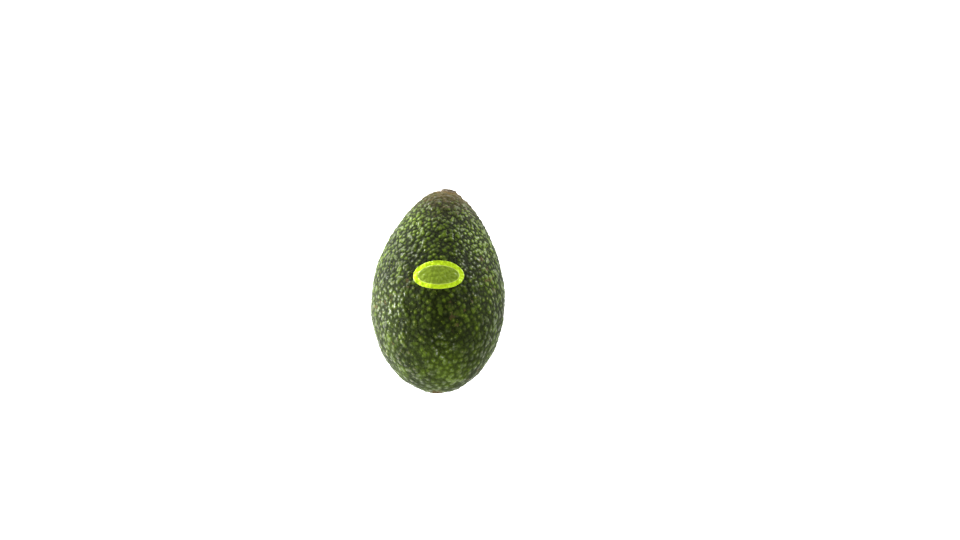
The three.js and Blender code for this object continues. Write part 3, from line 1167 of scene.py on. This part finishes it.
@dataclass
class StalkButton:
    """The woody stub of the stalk, its foot let into the fruit and its clipped end rough.

    Attributes:
        seat: The fruit in its place.
        foot_radius: Where it widens into the fruit.
        neck_radius: At the clipped end.
        proud: Height above the bottom of the dish.
        foot_depth: How far the foot reaches below the bottom of the dish.
        rim_size: Radius of the rounded rim of the clipped end.
        ring_pitch: Distance between the growth rings.
        ring_height: Their height.
        around: Points round it.
    """

    seat: FruitSeat
    foot_radius: float = 5.1
    neck_radius: float = 3.85
    proud: float = 2.8
    foot_depth: float = 1.25
    rim_size: float = 0.35
    ring_pitch: float = 0.62
    ring_height: float = 0.035
    around: int = 132

    def profile(self) -> tuple[Array, Array, Array, Array]:
        """The outline from the middle of the foot's underside, up the side, to the clipped end's middle.

        The side draws in from the foot to the neck by a smooth step, and its rim is a quarter of an oval.

        Returns:
            Radii, heights, the share of bark (1 on the side, 0 on the clipped end) and the share of rim.
        """
        under = np.linspace(0.0, 1.0, 6) ** 0.8
        wall = np.linspace(0.0, 1.0, 34)[1:]
        rim = np.linspace(0.0, np.pi / 2.0, 9)[1:]
        face = np.linspace(1.0, 0.0, 26)[1:]
        height = self.proud - self.rim_size
        side_height = -self.foot_depth + (height + self.foot_depth) * wall
        draw_in = ease(-0.1, 2.1, side_height)
        side_radius = self.foot_radius + (self.neck_radius - self.foot_radius) * draw_in
        inner = self.neck_radius - self.rim_size
        radii = np.concatenate(
            [self.foot_radius * under, side_radius, inner + self.rim_size * np.cos(rim), inner * face]
        )
        heights = np.concatenate(
            [
                np.full(len(under), -self.foot_depth),
                side_height,
                height + self.rim_size * np.sin(rim),
                np.full(len(face), self.proud),
            ]
        )
        bark = np.concatenate([np.ones(len(under) + len(wall)), np.cos(rim), np.zeros(len(face))])
        fade = 6
        edge = np.concatenate(
            [
                np.zeros(len(under) + len(wall) - fade),
                np.linspace(0.0, 1.0, fade),
                np.ones(len(rim)),
                ease(0.72, 1.0, face),
            ]
        )
        return radii, heights, bark, edge

    def surface(self) -> Surface:
        """The button's grid: the outline turned round +Y, fluted, torn at the rim and dished on top.

        The radius is the outline's times the unevenness of the stalk plus flutes, which are waves of the
        turn, and a ring-shaped scar, and they fade out towards both poles. The height has added to it, on
        the clipped end, a shallow dish with a raised pith, growth rings and roughness, and above the foot
        a slant and a torn edge.

        Returns:
            The surface, closed at both poles.
        """
        radii, heights, bark, edge = self.profile()
        turn = np.linspace(0.0, 2.0 * np.pi, self.around, endpoint=False)
        radius, angle = np.meshgrid(radii, turn, indexing="ij")
        height = np.repeat(heights[:, None], self.around, axis=1)
        on_bark = np.repeat(bark[:, None], self.around, axis=1)
        on_edge = np.repeat(edge[:, None], self.around, axis=1)
        above = ease(-0.2, 1.0, height)
        uneven = 1.0 + (stalk_unevenness(angle) - 1.0) * (1.0 + 0.4 * above)
        flutes = 0.022 * np.sin(17.0 * angle + 2.0 * np.sin(3.0 * angle))
        flutes = flutes + 0.014 * np.sin(29.0 * angle + 1.0)
        scar_ring = 0.035 * np.exp(-(((height - 1.25) / 0.28) ** 2))
        shape = uneven + (flutes + scar_ring) * above * ease(0.0, 1.2, radius)
        x = radius * shape * np.sin(angle)
        z = radius * shape * np.cos(angle)
        spots = np.stack([x, height, z], axis=-1)
        rough = waves(spots, 1.3, 31) * 0.05 + waves(spots, 0.7, 32) * 0.025
        on_top = 1.0 - on_bark
        share = np.clip(radius / self.neck_radius, 0.0, 1.0)
        dish = -0.34 * (1.0 - share**2) + 0.16 * np.exp(-((radius / 0.75) ** 2))
        rings = self.ring_height * np.sin(radius * 2.0 * np.pi / self.ring_pitch)
        slant = 0.05 * x - 0.035 * z
        torn = 0.1 * on_edge * waves(np.stack([x, 0.0 * x, z], axis=-1), 1.6, 33) - 0.12 * on_edge
        height = height + on_top * (dish + rings + rough * 2.0) + above * (slant + torn)
        outward = on_bark * above * rough * 1.4
        x = x + outward * np.sin(angle)
        z = z + outward * np.cos(angle)
        local = np.stack([x, np.minimum(height, self.proud + 0.12), z], axis=-1).reshape(-1, 3)
        placed_at = turned_upright(local, self.seat.stalk_upright) + self.seat.stalk_place
        values = {
            "bark": on_bark.ravel(),
            "rim": on_edge.ravel(),
            "from_axis": np.hypot(x, z).ravel(),
            "grain_place": np.stack(
                [np.sin(angle) * 3.0, height * 0.35, np.cos(angle) * 3.0], axis=-1
            ).reshape(-1, 3),
        }
        surface = Surface(placed_at, grid_quads(len(radii), self.around, wraps=True), values)
        poles = np.where(np.arange(len(local)) < self.around, 1.0, 0.0)
        poles[-self.around :] = 2.0
        keys = np.concatenate([local, poles[:, None]], axis=1)
        keys[: self.around, :3] = 0.0
        keys[-self.around :, :3] = 0.0
        placed_at[-self.around :] = placed_at[-self.around :].mean(axis=0)
        return surface.welded(keys, 6)

    def build(self, finish: bpy.types.Material) -> bpy.types.Object:
        """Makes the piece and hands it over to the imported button's body."""
        surface = self.surface()
        piece = placed("stalk_button", surface.mesh("stalk_button"), finish)
        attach(piece, BODY)
        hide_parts("stem_button")
        log.info("stalk_button: %d faces", len(surface.quads))
        return piece


@dataclass(frozen=True)
class WoodFinish:
    """Dry stalk wood: grey-brown fibrous bark, and a paler clipped end with growth rings and a pith.

    Every colour is a display colour, 0 to 255.
    """

    bark_dark: Tint = (72, 60, 42)
    bark_light: Tint = (142, 128, 98)
    cut_light: Tint = (150, 128, 90)
    cut_dark: Tint = (92, 72, 46)
    pith: Tint = (84, 60, 40)

    def build(self, effects: SharedEffects) -> bpy.types.Material:
        """Wires the finish.

        Args:
            effects: The shared effects.

        Returns:
            The material.
        """
        material, wiring, shader = started_finish("button_wood")
        place = wiring.millimetres()
        grain_place = wiring.attribute("grain_place", vector=True)
        bark = wiring.attribute("bark")
        rim = wiring.attribute("rim")
        from_axis = wiring.attribute("from_axis")
        fibres = wiring.noise(grain_place, 2.4, 5.0, 0.65)
        blotches = effects.mottled(wiring, place, 0.5, breaking=0.5, level=0.5, softness=0.15)
        light = wiring.step(fibres, 0.32, 0.68)
        side = wiring.lay(linear(self.bark_dark), linear(self.bark_light), light)
        side = wiring.lay(side, linear(self.bark_dark), wiring.times(blotches, 0.45))
        rings = wiring.line(wiring.noise(place, 1.4), 2.4, wiring.times(from_axis, 10.0))
        rings = wiring.math("SINE", rings)
        dark = wiring.step(rings, -0.2, 1.0, 0.0, 0.6)
        end = wiring.lay(linear(self.cut_light), linear(self.cut_dark), dark)
        tubes = wiring.group(effects.dust, Place=place, Scale=3.0, Size=0.32, Rarity=0.3)
        end = wiring.lay(end, linear(self.pith), wiring.times(tubes, 0.8))
        end = wiring.lay(end, linear(self.pith), wiring.step(from_axis, 0.95, 0.45, 0.0, 0.75))
        colour = wiring.lay(end, side, wiring.step(bark, 0.1, 0.8))
        colour = wiring.lay(colour, linear(self.bark_dark), wiring.times(rim, 0.35))
        wiring.feed(shader.inputs["Base Color"], colour)
        wiring.feed(shader.inputs["Roughness"], wiring.step(fibres, 0.2, 0.8, 0.72, 0.9))
        rough = wiring.group(effects.grain, Place=place, Scale=2.6, Pitting=0.5)
        normal = wiring.bump(fibres, 0.8, 0.22)
        normal = wiring.bump(rough, 0.6, 0.12, normal)
        wiring.feed(shader.inputs["Normal"], normal)
        return material


# --------------------------------------------------------------------------------------------------
# The label
# --------------------------------------------------------------------------------------------------


@dataclass
class FruitLabel:
    """A thin oval film pressed on to the pebbles.

    Attributes:
        skin: The skin that it lies on.
        width: Across the fruit.
        height: Along the fruit.
        thickness: Of the film.
        clearance: Gap between the film and the skin.
        press: How far the film is pressed into the valleys, as a share of their depth.
        crest: How high the highest pebbles stand over the smooth skin.
        turn: Its middle's turn from straight up towards +X, in degrees.
        stemward: How far its middle is towards the stem from the middle of the body.
        edge_bulge: How far its cut edge is rounded, as a share of its half width.
        curl: How far the edge lifts where it curls most.
        columns: Quads across it.
        rows: Quads along it.
    """

    skin: FruitSkin
    width: float = 26.0
    height: float = 14.8
    thickness: float = 0.14
    clearance: float = 0.07
    press: float = 0.72
    crest: float = 0.5
    turn: float = 1.0
    stemward: float = -0.35
    edge_bulge: float = 0.004
    curl: float = 0.25
    columns: int = 88
    rows: int = 54

    def directions(self, across: Array, along: Array) -> Array:
        """Directions of points of the label.

        With y = (stemward + along) / half length, and the turn the middle's plus across / half breadth,
        the direction is (r sin(turn), y, r cos(turn)), r = sqrt(1 - y^2).

        Args:
            across: Distances from its middle across the fruit.
            along: Distances from its middle along the fruit.

        Returns:
            Unit vectors.
        """
        half = self.skin.seat.form.half
        y = (self.stemward + along) / half[1]
        turn = math.radians(self.turn) + across / half[0]
        ring = np.sqrt(1.0 - y * y)
        return np.stack([ring * np.sin(turn), y, ring * np.cos(turn)], axis=-1)

    def surface(self) -> Surface:
        """The film: a grid on top, another underneath, and a narrow band round the edge that joins them.

        A square grid is made round by (u, v) -> (u * sqrt(1 - v^2 / 2), v * sqrt(1 - u^2 / 2)). A point's
        place is the smooth skin's, lifted along the normal to the level of the pebbles' crests, less the
        pressed share of the skin's depth below them, plus the clearance, a slight curl of the edge, and
        the film's thickness on top.

        Returns:
            The closed surface.
        """
        u, v = np.meshgrid(
            np.linspace(-1.0, 1.0, self.columns + 1), np.linspace(-1.0, 1.0, self.rows + 1)
        )
        disc = np.stack([u * np.sqrt(1.0 - v * v / 2.0), v * np.sqrt(1.0 - u * u / 2.0)], axis=-1)
        numbers = np.arange(u.size).reshape(u.shape)
        loop = np.concatenate([numbers[0, :-1], numbers[:-1, -1], numbers[-1, :0:-1], numbers[:0:-1, 0]])
        flat = disc.reshape(-1, 2)
        levels = np.array([0.0, 0.3, 0.7, 1.0])
        rim = np.repeat(flat[loop][None], len(levels), axis=0)
        rim_level = np.repeat(levels[:, None], len(loop), axis=1)
        rim = rim * (1.0 + self.edge_bulge * np.sin(np.pi * rim_level))[..., None]
        spots = np.concatenate([flat, flat, rim.reshape(-1, 2)])
        top = np.concatenate([np.ones(len(flat)), np.zeros(len(flat)), rim_level.ravel()])
        over = grid_quads(self.rows + 1, self.columns + 1, wraps=False)
        band = grid_quads(len(levels), len(loop), wraps=True)
        quads = np.concatenate([over, over[:, ::-1] + len(flat), band + 2 * len(flat)])
        halves = np.array([self.width, self.height]) / 2.0
        directions = self.directions(spots[:, 0] * self.width / 2.0, spots[:, 1] * self.height / 2.0)
        smooth = self.skin.seat.skin(directions)
        found = self.skin.outline(directions)
        sunk = np.einsum("ij,ij->i", smooth - found["places"], found["normals"])
        out = np.linalg.norm(spots, axis=-1)
        tiny = 1e-6
        steepness = np.linalg.norm(spots / halves, axis=-1) / np.maximum(out, tiny)
        curl = ease(0.88, 1.0, out) * np.clip(waves(smooth, 11.0, 41), 0.0, 1.0) * self.curl
        rests_at = self.crest - self.press * (sunk + self.crest)
        lift = rests_at + self.clearance + curl + self.thickness * top
        places = smooth + found["normals"] * lift[:, None]
        from_edge = (1.0 - out) / np.maximum(steepness, tiny)
        values = {
            "from_edge": np.where(out > 0.2, from_edge, 0.5 * self.height),
            "edge_paper": np.where(top >= 1.0, 0.0, 1.0),
        }
        return Surface(places, quads, values).welded(np.concatenate([spots, top[:, None]], axis=1), 6)

    def build(self, finish: bpy.types.Material) -> bpy.types.Object:
        """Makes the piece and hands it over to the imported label's body."""
        surface = self.surface()
        piece = placed("fruit_label", surface.mesh("fruit_label"), finish)
        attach(piece, BODY)
        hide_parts("label")
        log.info("fruit_label: %d faces", len(surface.quads))
        return piece


@dataclass(frozen=True)
class LabelFinish:
    """Printed film: a lime band, a pale hairline and a darker field, with nothing written on it.

    Every colour is a display colour, 0 to 255.

    Attributes:
        band: Width of the lime band, in millimetres.
        hairline: Width of the hairline, in millimetres.
        blur: How far each edge of the print runs, to either side, in millimetres.
    """

    lime: Tint = (212, 252, 8)
    field_green: Tint = (132, 158, 28)
    line_green: Tint = (218, 238, 112)
    paper: Tint = (220, 226, 176)
    band: float = 2.3
    hairline: float = 0.3
    blur: float = 0.05

    def build(self, effects: SharedEffects) -> bpy.types.Material:
        """Wires the finish.

        Args:
            effects: The shared effects.

        Returns:
            The material.
        """
        material, wiring, shader = started_finish("printed_film")
        place = wiring.millimetres()
        from_edge = wiring.attribute("from_edge")
        inner = self.band + self.hairline
        in_field = wiring.step(from_edge, inner - self.blur, inner + self.blur)
        past_band = wiring.step(from_edge, self.band - self.blur, self.band + self.blur)
        in_line = wiring.less(past_band, in_field)
        edge_paper = wiring.attribute("edge_paper")
        wear = effects.mottled(wiring, place, 0.5, breaking=0.6, level=0.5, softness=0.2)
        colour = wiring.lay(linear(self.lime), linear(self.field_green), in_field)
        colour = wiring.lay(colour, linear(self.line_green), wiring.larger(in_line, 0.0))
        colour = wiring.lay(colour, linear(self.field_green), wiring.times(wear, 0.14))
        colour = wiring.lay(colour, linear(self.paper), edge_paper)
        wiring.feed(shader.inputs["Base Color"], colour)
        fine = wiring.group(effects.grain, Place=place, Scale=1.1, Pitting=0.2)
        wiring.feed(shader.inputs["Roughness"], wiring.step(fine, 0.3, 0.7, 0.3, 0.42))
        wiring.feed(shader.inputs["Normal"], wiring.bump(fine, 0.5, 0.12))
        shader.inputs["Coat Weight"].default_value = 0.1
        shader.inputs["Coat Roughness"].default_value = 0.3
        return material


# --------------------------------------------------------------------------------------------------
# The studio
# --------------------------------------------------------------------------------------------------


@dataclass(frozen=True)
class SoftLight:
    """A square soft light that points at the fruit.

    Attributes:
        name: Its name.
        azimuth: Where it stands, in degrees round from -Y towards +X.
        elevation: Its height above the horizon, in degrees.
        distance: From the fruit, in metres.
        size: Its side, in metres.
        power: In watts.
        colour: Its linear colour.
    """

    name: str
    azimuth: float
    elevation: float
    distance: float
    size: float
    power: float
    colour: Colour = (1.0, 1.0, 1.0)

    def build(self, target: Vector) -> bpy.types.Object:
        """Makes the light, aimed at a target."""
        data = bpy.data.lights.new(self.name, "AREA")
        data.shape = "SQUARE"
        data.size = self.size
        data.energy = self.power
        data.color = self.colour
        lamp = bpy.data.objects.new(self.name, data)
        back = facing(self.azimuth, self.elevation)
        lamp.location = target + back * self.distance
        lamp.rotation_euler = (-back).to_track_quat("-Z", "Y").to_euler()
        lamp.visible_camera = False
        bpy.context.scene.collection.objects.link(lamp)
        return lamp


def facing(azimuth: float, elevation: float) -> Vector:
    """The unit vector towards a place at that azimuth and elevation, in degrees."""
    turn, rise = math.radians(azimuth), math.radians(elevation)
    return Vector((math.sin(turn) * math.cos(rise), -math.cos(turn) * math.cos(rise), math.sin(rise)))


@dataclass(frozen=True)
class Studio:
    """The pale floor, which glows with painted light and a painted shadow, the soft lights and the
    camera, which looks down on the fruit.

    Attributes:
        elevation: The camera's height above the horizon, in degrees.
        distance: From the aim to the camera, in metres.
        lens: Focal length, in millimetres, on a 36 mm wide sensor.
        aim_right: How far the aim is to the right of the fruit's middle, in metres.
        aim_up: How far the aim is above it, as the camera sees it, in metres.
        floor_radius: Of the floor, in metres.
        floor_grey: The floor's grey, linear.
        shadow_painted_glow: How much the floor glows where the fruit rests: the glow is dimmed there in
            an oval, a painted shadow.
        left_glow: How much it glows at the left, where the light comes from, as painted light.
        footprint: Half sizes of the painted shadow's oval, across and along, in millimetres.
        sky: The sky's strength as a light.
        backdrop: The sky's strength as it is seen.
        lights: The soft lights.
    """

    elevation: float = 76.0
    distance: float = 1.156
    lens: float = 85.0
    aim_right: float = 0.0214
    aim_up: float = 0.0095
    floor_radius: float = 3.0
    floor_grey: float = 0.86
    shadow_painted_glow: float = 0.15
    left_glow: float = 2.8
    footprint: tuple[float, float] = (30.0, 50.0)
    sky: float = 0.24
    backdrop: float = 1.0
    lights: tuple[SoftLight, ...] = (
        SoftLight("left_softbox", -92.0, 6.0, 0.8, 0.2, 9.0),
        SoftLight("left_back_softbox", -142.0, 9.0, 0.8, 0.18, 5.0),
        SoftLight("back_softbox", 132.0, 9.0, 0.9, 0.2, 7.0),
        SoftLight("front_softbox", 5.0, 30.0, 1.1, 0.3, 5.0),
    )

    def build(self) -> None:
        """Makes the floor, the light and the camera."""
        low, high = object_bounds()
        middle = (low + high) / 2.0
        self._floor()
        self._world()
        for light in self.lights:
            light.build(middle)
        self._camera(middle)
        scene = bpy.context.scene
        scene.view_settings.view_transform = "Standard"
        scene.view_settings.look = "None"

    def _floor(self) -> None:
        """A round floor on a polar grid, under the fruit. It glows as painted light, brighter towards the
        left, and its glow is dimmed in an oval under the fruit as a painted shadow.
        """
        radii = np.concatenate([[0.0], np.geomspace(50.0, self.floor_radius / MM, 14)])
        turn = np.linspace(0.0, 2.0 * np.pi, 72, endpoint=False)
        radius, angle = np.meshgrid(radii, turn, indexing="ij")
        flat = [radius * np.cos(angle), radius * np.sin(angle), np.zeros_like(radius)]
        points = np.stack(flat, axis=-1).reshape(-1, 3)
        quads = grid_quads(len(radii), len(turn), wraps=True)[:, ::-1]
        surface = Surface(points, quads).welded(points, 3)
        material, wiring, shader = started_finish("floor_paper")
        place = wiring.millimetres()
        shade = wiring.step(wiring.noise(place, 0.02, 2.0), 0.0, 1.0)
        paler = min(self.floor_grey + 0.02, 1.0)
        wiring.feed(shader.inputs["Base Color"], wiring.lay(grey(self.floor_grey), grey(paler), shade))
        shader.inputs["Roughness"].default_value = 0.9
        # Painted shadow: an oval round the fruit where the floor's glow is dimmed.
        spread = wiring.node("ShaderNodeVectorMath", operation="DIVIDE")
        wiring.feed(identified(spread.inputs, "Vector"), place)
        identified(spread.inputs, "Vector_001").default_value = (*self.footprint, 1.0)
        away = wiring.step(wiring.length_of(spread.outputs["Vector"]), 0.2, 1.15)
        # Painted light: the floor's glow grows towards the left.
        apart = wiring.node("ShaderNodeSeparateXYZ")
        wiring.feed(apart.inputs["Vector"], place)
        leftward = wiring.step(apart.outputs["X"], 40.0, -110.0)
        glow = wiring.lay(grey(1.0 / self.left_glow), grey(1.0), leftward)
        painted_shadow_grey = grey(self.shadow_painted_glow / self.left_glow)
        wiring.feed(shader.inputs["Emission Color"], wiring.lay(painted_shadow_grey, glow, away))
        shader.inputs["Emission Strength"].default_value = self.left_glow
        floor = placed("floor", surface.mesh("floor"), material)
        floor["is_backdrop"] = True

    def _world(self) -> None:
        """An even sky, dim as light and white as a backdrop."""
        world = bpy.data.worlds.new("soft_sky")
        world.use_nodes = True
        wiring = Wiring(world.node_tree)
        background = world.node_tree.nodes["Background"]
        background.inputs["Color"].default_value = grey(1.0)
        seen = wiring.node("ShaderNodeLightPath").outputs["Is Camera Ray"]
        strength = wiring.line(seen, self.backdrop - self.sky, self.sky)
        wiring.feed(background.inputs["Strength"], strength)
        bpy.context.scene.world = world

    def _camera(self, middle: Vector) -> None:
        """The camera, stood back from its aim along its own line of sight."""
        back = facing(0.0, self.elevation)
        rise = math.radians(self.elevation)
        up = Vector((0.0, math.sin(rise), math.cos(rise)))
        aim = middle + Vector((self.aim_right, 0.0, 0.0)) + up * self.aim_up
        data = bpy.data.cameras.new("camera")
        data.lens = self.lens
        data.sensor_width = 36.0
        data.clip_start = 0.01
        camera = bpy.data.objects.new("camera", data)
        camera.location = aim + back * self.distance
        camera.rotation_euler = (-back).to_track_quat("-Z", "Y").to_euler()
        bpy.context.scene.collection.objects.link(camera)
        bpy.context.scene.camera = camera


# --------------------------------------------------------------------------------------------------
# The whole object
# --------------------------------------------------------------------------------------------------


@dataclass
class Avocado:
    """The fruit's skin, its button and its label.

    Attributes:
        form: The fruit's smooth outline.
    """

    form: FruitForm = field(default_factory=FruitForm)

    def build(self) -> list[bpy.types.Object]:
        """Builds and dresses every piece, in order."""
        effects = SharedEffects()
        seat = FruitSeat.from_frame(self.form)
        skin = FruitSkin(seat)
        return [
            skin.build(SkinFinish().build(effects)),
            StalkButton(seat).build(WoodFinish().build(effects)),
            FruitLabel(skin).build(LabelFinish().build(effects)),
        ]


def main() -> None:
    """Loads the frame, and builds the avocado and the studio."""
    logging.basicConfig(level=logging.INFO, format="%(name)s %(message)s", stream=sys.stdout)
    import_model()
    pieces = Avocado().build()
    Studio().build()


if __name__ == "__main__":
    main()
